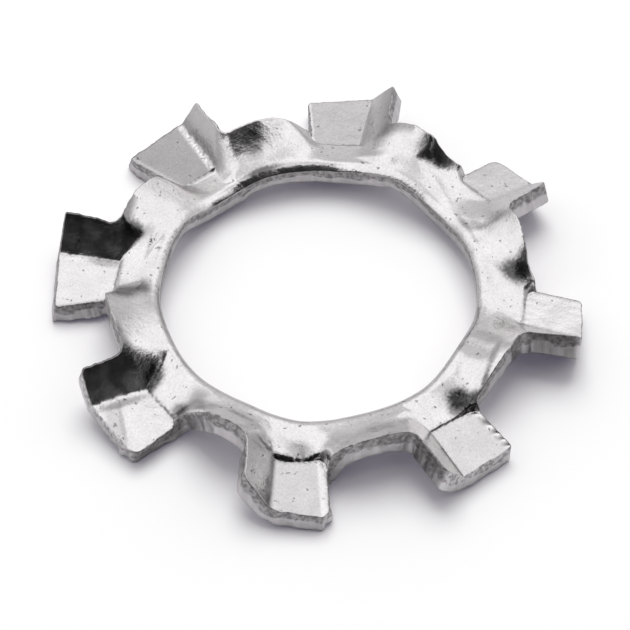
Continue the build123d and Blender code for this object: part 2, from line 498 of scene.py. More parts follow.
def outside_pad(tooth, out, across):
    """Distance outside the pad's step, which has a rounded corner at the free side."""
    share = root_share(tooth, out, across)
    jitter = ROOT_JITTER * ripple(out, across, 0.16, int(tooth.root * 1000))
    back = root_line(tooth, share) - out + tooth.root_corner
    beside = across - pad_side(tooth, out) + tooth.root_corner
    round_corner = np.hypot(np.maximum(back, 0), np.maximum(beside, 0))
    outside = round_corner + np.minimum(np.maximum(back, beside), 0) - tooth.root_corner
    return outside + jitter * np.exp(-np.abs(outside) / JITTER_REACH)


def wing_meeting(tooth, radius):
    """Height over which a wing meets the ring: the tooth's own between the crease and the gap."""
    in_ring = smooth_step(CREASE_RADIUS, CREASE_RADIUS + 0.35, radius)
    in_ring *= smooth_step(GAP_RADIUS + 0.2, GAP_RADIUS - 0.1, radius)
    plain = np.where(radius < 0.5 * (CREASE_RADIUS + GAP_RADIUS), FLOOR_BLEND, WING_BLEND)
    return plain + (tooth.wing_blend - plain) * in_ring


def dished(upper, tooth, radius, out, across, rim, soft):
    """The ring with the dish pressed round a tooth: floor, free side and wing, then the step to the pad."""
    beyond = radius - CREASE_RADIUS - along(tooth.dish_start, root_share(tooth, out, across))
    floor = rim - beyond * tan_deg(tooth.floor_slope)
    floor -= tooth.lip * (1 - np.exp(-np.maximum(beyond, 0) / LIP_RUN))
    start = pad_side(tooth, out) - tooth.side_start + tooth.side_splay * (out - tooth.root)
    steepened = smooth_step(*tooth.side_steepens, radius)
    steep = tan_deg(tooth.side_slope) * (SIDE_EASE + (1 - SIDE_EASE) * steepened)
    if soft:
        steep = steep * (1 - smooth_step(GAP_RADIUS, GAP_RADIUS + 0.3, radius))
    side = floor + (across - start) * steep
    ring = smooth_max(floor, side, tooth.foot_blend + soft)
    pad = pad_height(tooth, out, across)
    outside = outside_pad(tooth, out, across)
    brink = brink_width(tooth, out, across)
    if soft:
        down = 1 - smooth_step(-SOFT_STEP / 2, brink + SOFT_STEP / 2, outside)
    else:
        down = (1 - np.clip(outside / brink, 0, 1)) ** BRINK_POWER
    level = ring + (pad - ring) * down
    past_crease = smooth_step(CREASE_RADIUS, CREASE_RADIUS + 0.3, radius)
    meeting = FLOOR_BLEND + (tooth.floor_blend - FLOOR_BLEND) * past_crease
    meeting += (tooth.side_blend - meeting) * smooth_step(0.0, 0.1, side - floor)
    lowered = smooth_min(upper, level, meeting + soft)
    wing = smooth_min(upper, wing_height(tooth, out, across), wing_meeting(tooth, radius) + soft)
    blend = tooth.fold_blend + tooth.inner_blend * (1 - smooth_step(tooth.root - 0.5, tooth.root, radius))
    blend = (blend + soft) * smooth_step(0.0, 0.12, upper - level) + 0.001
    return smooth_max(lowered, wing, blend)


def spot_share(spot, x, y):
    """1 at the spot's middle, fading to 0 outside it."""
    out, across = to_local(spot.tooth, x, y)
    a = math.radians(spot.turn)
    ahead = (out - spot.out) * math.cos(a) + (across - spot.across) * math.sin(a)
    aside = (across - spot.across) * math.cos(a) - (out - spot.out) * math.sin(a)
    return np.exp(-((ahead / spot.length) ** 2) - (aside / spot.width) ** 2)


def top_height(x, y, soft=0.0):
    """Height of the top face. With soft, in mm, its creases and steps are rounded, for the underside."""
    radius = np.hypot(x, y)
    degrees = np.degrees(np.arctan2(y, x)) % 360
    ring = ring_height(radius, degrees)
    rim = rim_height(degrees)
    height = ring.copy()
    for tooth, here, past, out, across in pitches(x, y, degrees):
        shape = dished(ring[here], tooth, radius[here], out, across, rim[here], soft)
        from_crest = np.minimum(past - EDGE_CREST + PITCH, EDGE_CREST - past)
        height[here] += (shape - ring[here]) * smooth_step(0, CREST_FADE, from_crest)
    for spot in SPOTS:
        height += spot.height * spot_share(spot, x, y)
    if not soft:
        height -= ROLL_DEPTH * (1 - np.clip((radius - BORE_RADIUS) / ROLL_RUN, 0, 1)) ** 2
        height += WOBBLE * ripple(x, y, 0.9, 1) + WOBBLE / 3 * ripple(x, y, 0.3, 2)
    return height


# ---- the top face's painted light and shade ------------------------------------------------------
SIDE_TONE_RUN = 0.20  # half the width of the painted band on a dish's side
FOLD_RUN = 0.05  # half the width of the painted dark shade along the fold
BEAD_TONE = 1.05  # painted highlight on the bead beside a fold
DIP_TONE = -0.65  # painted shade: the dips between crushed bumps are this much off the pad's own
BUMP_TONE = 1.1  # and painted highlights make the bumps this much brighter than the dips
SPOT_EDGE = (0.06, 0.70)  # a spot darkens from the first share of it and is full from the second
TONE_EDGE = 0.02  # the painted light on pads, wings and spots changes within this much of their lines


def band(distance, width):
    """1 on a line, fading to 0 at about twice this distance from it."""
    return np.exp(-((distance / width) ** 2))


def pad_painted_light(tooth, out, across):
    """Painted light and shade on a pad, its bead, its bevel and its crushed bumps, and on the wing beside
    it.
    """
    beside = across - fold_across(tooth, out)
    inward = pad_side(tooth, out) - across
    outside = outside_pad(tooth, out, across)
    on_pad = smooth_step(TONE_EDGE, -TONE_EDGE, outside) * smooth_step(-TONE_EDGE, TONE_EDGE, beside)
    tone = 1 + (tooth.pad_tone - 1) * on_pad
    if tooth.ridge:
        bead = on_pad * smooth_step(RIDGE_WIDTH, RIDGE_WIDTH / 2, beside) * patchy(out, across)
        tone += (BEAD_TONE - tone) * bead
    width = tooth.bevel[0]
    tone *= 1 + (tooth.bevel_tone - 1) * on_pad * smooth_step(width, 0.8 * width, inward)
    if tooth.serration:
        row = on_pad * band(inward - BUMP_INSET, BUMP_WIDTH)
        tone *= 1 + row * (BUMP_TONE * bumps(out, BUMP_INSET) + DIP_TONE)
    on_wing = smooth_step(TONE_EDGE, -TONE_EDGE, beside) * smooth_step(tooth.root - 0.2, tooth.root, out)
    edge_share = np.clip(-beside / (tooth.wing[0] * np.cos(np.radians(tooth.rise[0]))), 0, 1)
    tone *= 1 + (along(tooth.wing_tone, edge_share) - 1) * on_wing
    return tone


def patchy(out, across):
    """Share of a crease's painted shade or a bead's painted highlight that shows, which comes and goes
    along it.
    """
    return np.clip(0.8 + 0.5 * ripple(out, across, 0.10, 11), 0, 1.2)


def crease_share(tooth, radius, rim, out, across):
    """Where the painted crease shade lies: 1 in the crease along a pad's root, and in the line where a
    sharp wing meets the dish's floor.
    """
    beside = across - fold_across(tooth, out)
    outside = outside_pad(tooth, out, across)
    crease = band(outside - tooth.crease_run / 2, tooth.crease_run) * smooth_step(-0.06, 0.02, beside)
    floor = rim - (radius - CREASE_RADIUS) * tan_deg(tooth.floor_slope)
    meeting = band(floor - wing_height(tooth, out, across), tooth.crease_run)
    meeting *= smooth_step(tooth.root - 0.45, tooth.root - 0.25, out)
    meeting *= smooth_step(tooth.root, tooth.root - 0.1, out)
    meeting = meeting * smooth_step(0.15, 0.08, tooth.inner_blend)
    return np.maximum(crease, meeting) * np.minimum(patchy(out, across), 1)


def top_painted_light(x, y):
    """Painted light and shade on the top face's steel, as a share of its brightness: pads, wings, dish
    sides, folds, creases and spots.
    """
    radius = np.hypot(x, y)
    degrees = np.degrees(np.arctan2(y, x)) % 360
    result = np.ones_like(x)
    for tooth, here, _, out, across in pitches(x, y, degrees):
        beside = across - fold_across(tooth, out)
        tone = pad_painted_light(tooth, out, across)
        aside = band(pad_side(tooth, out) - across, SIDE_TONE_RUN)
        aside *= smooth_step(-TONE_EDGE, 0.1, outside_pad(tooth, out, across))
        aside *= smooth_step(CREASE_RADIUS - 0.1, CREASE_RADIUS + 0.1, radius[here])
        tone *= 1 + (tooth.side_tone - 1) * aside
        on_fold = band(beside + FOLD_RUN, FOLD_RUN) * smooth_step(tooth.root - 0.1, tooth.root + 0.05, out)
        tone *= 1 + (tooth.fold_tone - 1) * on_fold
        crease = crease_share(tooth, radius[here], rim_height(degrees[here]), out, across)
        result[here] = tone * (1 + (tooth.root_tone - 1) * crease)
    for spot in SPOTS:
        tooth = TOOTH[spot.tooth]
        off_pad = 1 if outside_pad(tooth, np.array(spot.out), np.array(spot.across)) > 0 else -1
        outside = outside_pad(tooth, *to_local(spot.tooth, x, y))
        share = spot_share(spot, x, y) * (1 + 0.2 * ripple(x, y, 0.09, 13))
        share *= smooth_step(-TONE_EDGE, TONE_EDGE, outside * off_pad)  # it ends at the pad's step
        result *= 1 + (spot.tone - 1) * smooth_step(*SPOT_EDGE, share)
    return result


# ---- the outline in plan -------------------------------------------------------------------------
STEP = 0.032  # spacing of the points along an outline
GAP_POINTS = 24  # stations along a gap's bottom
BORE_POINTS = 640
CORNER_LIMIT = 0.45  # a corner's rounding takes up at most this share of the lines beside it


def side_angle(side, k, radius):
    """Direction, in degrees, in which a tooth's side line crosses the circle of this radius."""
    out = radius
    for _ in range(6):
        out = math.sqrt(radius * radius - float(side(TOOTH[k], out)) ** 2)
    return fold_angle(k) + TOOTH[k].turn + math.degrees(math.atan2(float(side(TOOTH[k], out)), out))


def polar(radius, degrees):
    """Plan point at this distance and direction from the bore's axis."""
    return radius * math.cos(math.radians(degrees)), radius * math.sin(math.radians(degrees))


def gap_corner(side, k, sign):
    """From a tooth's side to the gap's circle. Sign is -1 on the wing's side and 1 on the pad's, where the
    gap's bottom may reach further out, or less far."""
    ear, fillet = (TOOTH[k].ear, TOOTH[k].fillet) if sign > 0 else (0.0, GAP_FILLET)
    bottom = TOOTH[k].gap if sign > 0 else TOOTH[k - 1].gap
    points = []
    for turn in range(90, -1, -10):
        radius = bottom + ear + fillet * (1 - math.cos(math.radians(turn)))
        beside = fillet * (1 - math.sin(math.radians(turn)))
        points.append((radius, beside))
    if ear:
        for run in np.linspace(0.1, 1, 10):
            points.append((bottom + ear * (1 - smooth_step(0, 1, run)), fillet + TOOTH[k].ear_run * run))
    return [polar(radius, side_angle(side, k, radius) + sign * math.degrees(beside / GAP_RADIUS))
            for radius, beside in points]


def rounded(points, radii):
    """Open polyline with its inner corners replaced by arcs of these radii."""
    path = [np.array(points[0])]
    for before, corner, after, radius in zip(points, points[1:], points[2:], radii):
        before, corner, after = map(np.array, (before, corner, after))
        u, v = before - corner, after - corner
        lu, lv = np.linalg.norm(u), np.linalg.norm(v)
        u, v = u / lu, v / lv
        half = math.acos(max(-1.0, min(1.0, float(u @ v)))) / 2
        tangent = min(radius / math.tan(half), CORNER_LIMIT * lu, CORNER_LIMIT * lv)
        start, end = corner + u * tangent, corner + v * tangent
        for t in np.linspace(0, 1, 9):
            path.append((1 - t) ** 2 * start + 2 * t * (1 - t) * corner + t * t * end)
    path.append(np.array(points[-1]))
    return path


def resample(points, step):
    """The closed loop through these points, with its own points about a step apart."""
    points = np.vstack([points, points[:1]])
    lengths = np.append(0, np.cumsum(np.linalg.norm(np.diff(points, axis=0), axis=1)))
    count = int(round(lengths[-1] / step))
    at = np.linspace(0, lengths[-1], count + 1)[:-1]
    return np.stack([np.interp(at, lengths, points[:, 0]), np.interp(at, lengths, points[:, 1])], axis=1)


def outer_outline():
    """The washer's outer outline, counter-clockwise."""
    points = []
    for k, tooth in enumerate(TOOTH):
        before = gap_corner(wing_side, k, -1)[::-1]
        after = gap_corner(pad_side, k, 1)
        wing_tip = to_plan(k, tooth.wing_tip, wing_side(tooth, tooth.wing_tip))
        fold_tip = to_plan(k, tooth.tip, fold_across(tooth, tooth.tip))
        pad_tip = to_plan(k, tooth.pad_tip, pad_side(tooth, tooth.pad_tip))
        radii = (tooth.wing_corner, FOLD_CORNER, tooth.pad_corner)
        points += before
        points += rounded([before[-1], wing_tip, fold_tip, pad_tip, after[0]], radii)[1:-1]
        points += after
        gap_start = math.degrees(math.atan2(after[-1][1], after[-1][0]))
        following = (k + 1) % TEETH
        gap_end = side_angle(wing_side, following, tooth.gap) - math.degrees(GAP_FILLET / GAP_RADIUS)
        span = (gap_end - gap_start) % 360
        for i in range(1, GAP_POINTS):
            points.append(polar(tooth.gap, gap_start + span * i / GAP_POINTS))
    outline = resample(points, STEP)
    wander = OUTLINE_JITTER * ripple(outline[:, 0], outline[:, 1], 0.35, 3)
    wander += OUTLINE_JITTER / 2 * ripple(outline[:, 0], outline[:, 1], 0.12, 4)
    return outline + outward_normals(outline) * wander[:, None]


def circle(radius, count):
    """Points round a circle, counter-clockwise."""
    turns = np.arange(count) * 2 * np.pi / count
    return np.stack([radius * np.cos(turns), radius * np.sin(turns)], axis=1)


def outward_normals(loop):
    """Unit normals in plan, pointing right of the direction of travel."""
    ahead = np.roll(loop, -1, axis=0) - np.roll(loop, 1, axis=0)
    ahead /= np.linalg.norm(ahead, axis=1)[:, None]
    return np.stack([ahead[:, 1], -ahead[:, 0]], axis=1)


# ---- lines that the top face's triangles follow --------------------------------------------------
STEP_TURNS = (90, 78, 64, 48, 30, 0)  # degrees round the quarter ellipse of a step
TOP_SPACING = 0.042  # of the free points on the top face
UNDER_SPACING = 0.09  # and on the underside
EDGE_LINE = 0.016  # a line of points follows the outline this far inside it
EDGE_CLEARANCE = 0.012  # other lines stop this far from the outline
FREE_CLEARANCE = 0.55  # free points keep this share of their spacing from every line
MARGIN = 0.2  # the lattice reaches this far past the teeth
CHUNK = 4000  # points tested at a time, to save memory


def step_lines(k):
    """Lines along the pad's step, from its foot to where the ring is level again."""
    tooth = TOOTH[k]
    outs, acrosses, normal = [], [], []
    side = float(pad_side(tooth, tooth.root))
    corner = tooth.root_corner
    for across in np.arange(-0.3, side - corner, STEP):
        share = min(max(across / tooth.pad[0], 0), 1)
        outs.append(root_line(tooth, share))
        acrosses.append(float(across) + float(fold_across(tooth, tooth.root)))
        normal.append((-1.0, 0.0))
    corner_out = root_line(tooth, (side - corner) / tooth.pad[0]) + corner
    for turn in range(0, 91, 8):
        c, s = math.cos(math.radians(turn)), math.sin(math.radians(turn))
        outs.append(corner_out - corner * c)
        acrosses.append(side - corner + corner * s)
        normal.append((-c, s))
    for out in np.arange(corner_out + STEP, GAP_RADIUS + 2 * GAP_FILLET, STEP):
        outs.append(float(out))
        acrosses.append(float(pad_side(tooth, out)))
        normal.append((0.0, 1.0))
    base = np.stack([outs, acrosses], axis=1)
    normal = np.array(normal)
    lines = []
    for turn in STEP_TURNS:
        moved = base.copy()
        for _ in range(5):  # each round brings the line closer to its distance from the step
            brink = brink_width(tooth, moved[:, 0], moved[:, 1])
            distance = brink * (1 - math.sin(math.radians(turn)))
            miss = distance - outside_pad(tooth, moved[:, 0], moved[:, 1])
            moved += normal * np.clip(miss, -0.5, 0.5)[:, None]
        lines.append(np.stack(to_plan(k, moved[:, 0], moved[:, 1]), axis=1))
    return lines


def fold_line(k):
    """Line along tooth k's fold."""
    tooth = TOOTH[k]
    outs = np.arange(tooth.root + 0.01, tooth.tip - 0.02, STEP)
    return np.stack(to_plan(k, outs, fold_across(tooth, outs)), axis=1)


def inside(loop, points):
    """Which points lie inside a closed loop, by counting crossings."""
    result = np.zeros(len(points), bool)
    a, b = loop, np.roll(loop, -1, axis=0)
    for start in range(0, len(points), CHUNK):
        p = points[start:start + CHUNK]
        above = (a[None, :, 1] > p[:, None, 1]) != (b[None, :, 1] > p[:, None, 1])
        slope = (b[:, 0] - a[:, 0]) / np.where(b[:, 1] == a[:, 1], 1e-12, b[:, 1] - a[:, 1])
        cross = a[None, :, 0] + (p[:, None, 1] - a[None, :, 1]) * slope[None, :]
        result[start:start + CHUNK] = ((p[:, None, 0] < cross) & above).sum(axis=1) % 2 == 1
    return result


def lattice(spacing):
    """Even triangular lattice over the washer's square."""
    rows = np.arange(-OUTER_RADIUS - MARGIN, OUTER_RADIUS + MARGIN, spacing * math.sqrt(3) / 2)
    columns = np.arange(-OUTER_RADIUS - MARGIN, OUTER_RADIUS + MARGIN, spacing)
    x, y = np.meshgrid(columns, rows)
    x = x + (np.arange(len(rows)) % 2)[:, None] * spacing / 2
    return np.stack([x.ravel(), y.ravel()], axis=1)


def nearest_distance(points, others):
    """Each point's distance to the nearest of the others."""
    tree = KDTree(len(others))
    for i, (x, y) in enumerate(others):
        tree.insert((x, y, 0), i)
    tree.balance()
    return np.array([tree.find((x, y, 0))[2] for x, y in points])


def triangulate(loops, lines, spacing):
    """Triangles between the outer loop and the bore loop that follow the lines.
    Returns the plan points, the triangles and each loop's point numbers."""
    outer, bore = loops
    fixed, edges, loop_ids = [], [], []
    for loop in loops:
        first = len(fixed)
        fixed += [tuple(p) for p in loop]
        ids = list(range(first, first + len(loop)))
        loop_ids.append(ids)
        edges += list(zip(ids, ids[1:] + ids[:1]))
    for line in lines:
        keep = inside(outer, line) & (np.hypot(*line.T) > BORE_RADIUS + 0.01)
        keep &= nearest_distance(line, outer) > EDGE_CLEARANCE
        before = None
        for point, kept in zip(line, keep):
            if kept:
                fixed.append(tuple(point))
                if before is not None:
                    edges.append((before, len(fixed) - 1))
                before = len(fixed) - 1
            else:
                before = None
    free = lattice(spacing)
    radius = np.hypot(*free.T)
    free = free[(radius > BORE_RADIUS) & (radius < OUTER_RADIUS + MARGIN)]
    free = free[inside(outer, free)]
    free = free[nearest_distance(free, np.array(fixed)) > FREE_CLEARANCE * spacing]
    points = [Vector(p) for p in fixed + [tuple(p) for p in free]]
    made = delaunay_2d_cdt(points, edges, [], 1, 1e-7, True)
    plan = np.array([tuple(p) for p in made[0]])
    number = {original: new for new, originals in enumerate(made[3]) for original in originals}
    loop_ids = [[number[i] for i in ids] for ids in loop_ids]
    triangles = np.array(made[2])
    for ids, material_inside in zip(loop_ids, (True, False)):
        on_loop = np.zeros(len(plan), bool)
        on_loop[ids] = True
        doubtful = np.flatnonzero(on_loop[triangles].all(axis=1))
        centres = plan[triangles[doubtful]].mean(axis=1)
        wrong = inside(plan[ids], centres) != material_inside
        triangles = np.delete(triangles, doubtful[wrong], axis=0)
    a, b, c = (plan[triangles[:, i]] for i in range(3))
    flat = (b[:, 0] - a[:, 0]) * (c[:, 1] - a[:, 1]) - (b[:, 1] - a[:, 1]) * (c[:, 0] - a[:, 0])
    triangles[flat < 0] = triangles[flat < 0][:, ::-1]
    return plan, triangles[np.abs(flat) > 1e-9], loop_ids


# ---- the whole skin: top, underside and cut faces ------------------------------------------------
PROBE = 0.01  # the underside's slope is measured over this much either way
SIDE_FACING = (0.3, 0.9)  # a cut face takes a tooth's value as it turns this squarely to its side or tip
TIP_BAND = (4.7, 5.0)  # the tip's value sets in between these distances from the axis
EDGE_SHARES = (0.0, 0.12, 0.45, 1.0)  # stations down the rounding of a cut face's edge
WALL_STATIONS = 9  # stations down a cut face between its roundings


def under_points(plan):
    """The underside, a thickness below the softened top face along its normal, worn level on the ground."""
    x, y = plan[:, 0], plan[:, 1]
    height = top_height(x, y, UNDER_SOFT)
    slope_x = (top_height(x + PROBE, y, UNDER_SOFT) - top_height(x - PROBE, y, UNDER_SOFT)) / (2 * PROBE)
    slope_y = (top_height(x, y + PROBE, UNDER_SOFT) - top_height(x, y - PROBE, UNDER_SOFT)) / (2 * PROBE)
    length = np.sqrt(1 + slope_x ** 2 + slope_y ** 2)
    radius = np.hypot(x, y)
    lean = smooth_step(BORE_RADIUS, BORE_RADIUS + 0.3, radius)
    lean *= 1 - (1 - GAP_LEAN) * smooth_step(GAP_RADIUS - 0.4, GAP_RADIUS, radius)
    lean += (TOOTH_LEAN - GAP_LEAN) * smooth_step(GAP_RADIUS, GAP_RADIUS + GAP_FILLET, radius)
    thick = SHEET / length
    under = np.stack([
        x + lean * thick * slope_x,
        y + lean * thick * slope_y,
        height - thick * (1 + (1 - lean) * (slope_x ** 2 + slope_y ** 2)),
    ], axis=1)
    under[:, 2] = np.maximum(under[:, 2], -RIM_HEIGHT)
    return under


def edge_values(outline, outward, values):
    """Spreads each tooth's (wing side, tip, pad side) values along the outline, fading to 0 in the gaps."""
    result = np.zeros(len(outline))
    radius = np.hypot(*outline.T)
    degrees = np.degrees(np.arctan2(outline[:, 1], outline[:, 0]))
    on_tooth = smooth_step(GAP_RADIUS, GAP_RADIUS + 0.3, radius)
    for k, (wing, tip, pad) in enumerate(values):
        a = math.radians(fold_angle(k) + TOOTH[k].turn)
        outwards = outward @ (math.cos(a), math.sin(a))
        sideways = outward @ (-math.sin(a), math.cos(a))
        here = np.abs(past_fold(degrees, k)) < PITCH / 2
        spread = wing * smooth_step(*SIDE_FACING, -sideways) * on_tooth
        spread += pad * smooth_step(*SIDE_FACING, sideways) * on_tooth
        spread += tip * smooth_step(*SIDE_FACING, outwards) * smooth_step(*TIP_BAND, radius)
        result[here] = spread[here]
    return result


def flare(outline, outward):
    """How far the underside reaches past the top face's outline: beside the pads and at the tips."""
    return edge_values(outline, outward, [(0.0, tooth.flare[1], tooth.flare[0]) for tooth in TOOTH])


def cut_painted_light(outline, outward):
    """Painted shade and reflections on the outer cut face along the outline, as a share of its brightness.
    """
    shades = [tuple(tone - 1 for tone in tooth.cut_tone) for tooth in TOOTH]
    return 1 + edge_values(outline, outward, shades)


def wall_rows(top, under, outward, top_round, under_round):
    """Rows of points down a cut face, with both its edges rounded. Returns the rows and their depths."""
    down = under - top
    depth = np.linalg.norm(down, axis=1)[:, None]
    down = down / depth
    flat = np.hstack([outward, np.zeros((len(outward), 1))])
    away = flat - (flat * down).sum(axis=1)[:, None] * down
    away /= np.linalg.norm(away, axis=1)[:, None]
    rows, depths = [], []
    stations = [top_round * share for share in EDGE_SHARES] if top_round else [0.0]
    stations += list(np.linspace(top_round, SHEET - under_round, WALL_STATIONS)[1:-1])
    stations += [SHEET - under_round * share for share in EDGE_SHARES[::-1]]
    for down_by in stations:
        share = down_by / SHEET
        bulge = 1.0
        if top_round:
            bulge *= math.sqrt(1 - (1 - min(down_by / top_round, 1)) ** 2)
        bulge *= math.sqrt(max(0.0, 1 - (1 - min((SHEET - down_by) / under_round, 1)) ** 2))
        out = bulge * (top_round * (1 - share) + under_round * share)
        rows.append(top + down * depth * share + away * out)
        depths.append(share)
    return rows, depths


def guide_lines(outer, outer_out):
    """Lines round the die roll, beside the outline, and along every tooth's step and fold."""
    lines = []
    for turn in STEP_TURNS[1:]:
        ring = circle(BORE_RADIUS + ROLL_RUN * (1 - math.sin(math.radians(turn))), BORE_POINTS)
        lines.append(np.vstack([ring, ring[:1]]))
    beside_edge = outer - outer_out * (EDGE_ROUNDING + EDGE_LINE)
    lines.append(np.vstack([beside_edge, beside_edge[:1]]))
    for k in range(TEETH):
        lines += step_lines(k)
        lines.append(fold_line(k))
    return lines


def washer_mesh():
    """The whole skin: its points in mm, its faces, each face's material, and each point's depth in a cut
    face and painted light and shade."""
    outer = outer_outline()
    bore = circle(BORE_RADIUS, BORE_POINTS)
    outer_out = outward_normals(outer)
    bore_out = -bore / BORE_RADIUS
    top_plan, top_triangles, top_loops = triangulate(
        [outer - outer_out * EDGE_ROUNDING, bore], guide_lines(outer, outer_out), TOP_SPACING)
    under_bore = circle(BORE_RADIUS + UNDER_ROUNDING, BORE_POINTS)
    under_plan, under_triangles, under_loops = triangulate(
        [outer - outer_out * UNDER_ROUNDING, under_bore], [], UNDER_SPACING)
    top = np.hstack([top_plan, top_height(top_plan[:, 0], top_plan[:, 1])[:, None]])
    under = under_points(under_plan)
    under[under_loops[0], :2] += outer_out * flare(outer, outer_out)[:, None]
    points = [top, under]
    count = len(top) + len(under)
    faces = [tuple(t) for t in top_triangles]
    faces += [tuple(t[::-1] + len(top)) for t in under_triangles]
    face_kind = [0] * len(faces)
    cut_depth = [np.zeros(count)]
    tone = [top_painted_light(top_plan[:, 0], top_plan[:, 1]), np.ones(len(under))]
    shades = (cut_painted_light(outer, outer_out), np.ones(len(bore)))
    walls = zip(top_loops, under_loops, (outer_out, bore_out), shades, (EDGE_ROUNDING, 0.0), (1, -1))
    for loop, under_loop, out, shade, top_round, order in walls:
        rows, depths = wall_rows(top[loop], under[under_loop], out, top_round, UNDER_ROUNDING)
        ids = [np.array(loop)]
        for row, depth in zip(rows[1:-1], depths[1:-1]):
            ids.append(np.arange(count, count + len(row)))
            points.append(row)
            cut_depth.append(np.full(len(row), depth))
            tone.append(shade)
            count += len(row)
        ids.append(np.array(under_loop) + len(top))
        ids = [row[::order] for row in ids]  # the bore's wall faces inwards, so it runs the other way
        for upper, lower in zip(ids, ids[1:]):
            for i in range(len(upper)):
                j = (i + 1) % len(upper)
                faces.append((upper[i], lower[i], lower[j], upper[j]))
                face_kind.append(1)
    points = np.vstack(points)
    points[:, 2] += RIM_HEIGHT
    return points, faces, face_kind, np.concatenate(cut_depth), np.concatenate(tone)


def make_washer():
    """The skin as one object, which keeps each point's cut depth and painted light and shade for the steel.
    """
    points, faces, face_kind, cut_depth, tone = washer_mesh()
    mesh = bpy.data.meshes.new("washer_skin")
    mesh.from_pydata((points * MM).tolist(), [], [tuple(int(i) for i in face) for face in faces])
    mesh.polygons.foreach_set("use_smooth", [True] * len(faces))
    mesh.polygons.foreach_set("material_index", face_kind)
    for name, values in (("cut_depth", cut_depth), ("tone", tone)):
        mesh.attributes.new(name, "FLOAT", "POINT").data.foreach_set("value", values)
    mesh.update()
    washer = bpy.data.objects.new("washer_skin", mesh)
    bpy.context.scene.collection.objects.link(washer)
    return washer


# ---- materials -----------------------------------------------------------------------------------
class Nodes:
    """Short names for building a node tree."""

    def __init__(self, tree):
        self.tree = tree
        self.output = None

    def add(self, kind, **values):
        node = self.tree.nodes.new(kind)
        for name, value in values.items():
            setattr(node, name, value)
        return node

    def link(self, output, socket):
        self.tree.links.new(output, socket)

    def noise(self, coordinates, scale, detail=3.0, roughness=0.55):
        node = self.add("ShaderNodeTexNoise")
        node.inputs["Scale"].default_value = scale
        node.inputs["Detail"].default_value = detail
        node.inputs["Roughness"].default_value = roughness
        self.link(coordinates, node.inputs["Vector"])
        return node.outputs["Fac"]

    def remap(self, value, low, high, to_low, to_high):
        node = self.add("ShaderNodeMapRange", interpolation_type="SMOOTHSTEP")
        limits = {"From Min": low, "From Max": high, "To Min": to_low, "To Max": to_high}
        for name, limit in limits.items():
            node.inputs[name].default_value = limit
        self.link(value, node.inputs["Value"])
        return node.outputs["Result"]

    def sum(self, a, b):
        node = self.add("ShaderNodeMath", operation="ADD")
        self.link(a, node.inputs[0])
        self.link(b, node.inputs[1])
        return node.outputs["Value"]

    def mixed(self, share, plain, other):
        """The plain value where share is 0, the other where it is 1. Each is a number or an output."""
        node = self.add("ShaderNodeMix", data_type="FLOAT")
        self.link(share, node.inputs[0])
        for socket, value in zip(node.inputs[2:4], (plain, other)):
            if isinstance(value, float):
                socket.default_value = value
            else:
                self.link(value, socket)
        return node.outputs[0]

    def scaled(self, colour, *factors):
        """A colour times each of these numbers."""
        for factor in factors:
            node = self.add("ShaderNodeVectorMath", operation="SCALE")
            self.link(colour, node.inputs["Vector"])
            self.link(factor, node.inputs["Scale"])
            colour = node.outputs["Vector"]
        return colour

    def bump(self, height, distance, strength=1.0, before=None):
        node = self.add("ShaderNodeBump")
        node.inputs["Strength"].default_value = strength
        node.inputs["Distance"].default_value = distance
        self.link(height, node.inputs["Height"])
        if before is not None:
            self.link(before, node.inputs["Normal"])
        return node.outputs["Normal"]

    def stretch(self, coordinates, scale):
        node = self.add("ShaderNodeMapping")
        node.inputs["Scale"].default_value = scale
        self.link(coordinates, node.inputs["Vector"])
        return node.outputs["Vector"]

    def ramp(self, value, stops):
        node = self.add("ShaderNodeValToRGB")
        ramp = node.color_ramp
        while len(ramp.elements) < len(stops):
            ramp.elements.new(0.5)
        for element, (place, colour) in zip(ramp.elements, stops):
            element.position = place
            element.color = (*colour, 1.0)
        self.link(value, node.inputs["Fac"])
        return node.outputs["Color"]


def new_material(name):
    """A metal material, with its node helper and its shader."""
    material = bpy.data.materials.new(name)
    material.use_nodes = True
    material.node_tree.nodes.clear()
    nodes = Nodes(material.node_tree)
    shader = nodes.add("ShaderNodeBsdfPrincipled")
    nodes.output = nodes.add("ShaderNodeOutputMaterial")
    nodes.link(shader.outputs["BSDF"], nodes.output.inputs["Surface"])
    shader.inputs["Metallic"].default_value = 1.0
    return material, nodes, shader


def face_steel():
    """Bright satin steel of the sheet's faces: tumbled grain, faint soft waves and a few pits, darkened and
    brightened by the painted light and shade that each point carries.
    """
    material, nodes, shader = new_material("face_steel")
    place = nodes.add("ShaderNodeTexCoord").outputs["Object"]
    clouds = nodes.ramp(nodes.noise(place, 2200, 4.0),
                        [(0.3, (0.87, 0.85, 0.855)), (0.7, (0.97, 0.945, 0.95))])
    grain = nodes.remap(nodes.noise(place, 18000, 3.0, 0.7), 0.3, 0.7, 0.91, 1.04)
    pits = nodes.remap(nodes.noise(place, 8000, 2.0), 0.66, 0.73, 1.0, 0.4)
    # painted light and shade, carried by each point, scales the base colour
    tone = nodes.add("ShaderNodeAttribute", attribute_name="tone").outputs["Fac"]
    nodes.link(nodes.scaled(clouds, grain, pits, tone), shader.inputs["Base Color"])
    nodes.link(nodes.remap(nodes.noise(place, 2500), 0.3, 0.7, 0.15, 0.25), shader.inputs["Roughness"])
    fine = nodes.bump(nodes.noise(place, 16000, 2.0), 0.000005)
    waves = nodes.bump(nodes.noise(place, 1800, 2.0), 0.000005, 1.0, fine)
    nodes.link(waves, shader.inputs["Normal"])
    return material


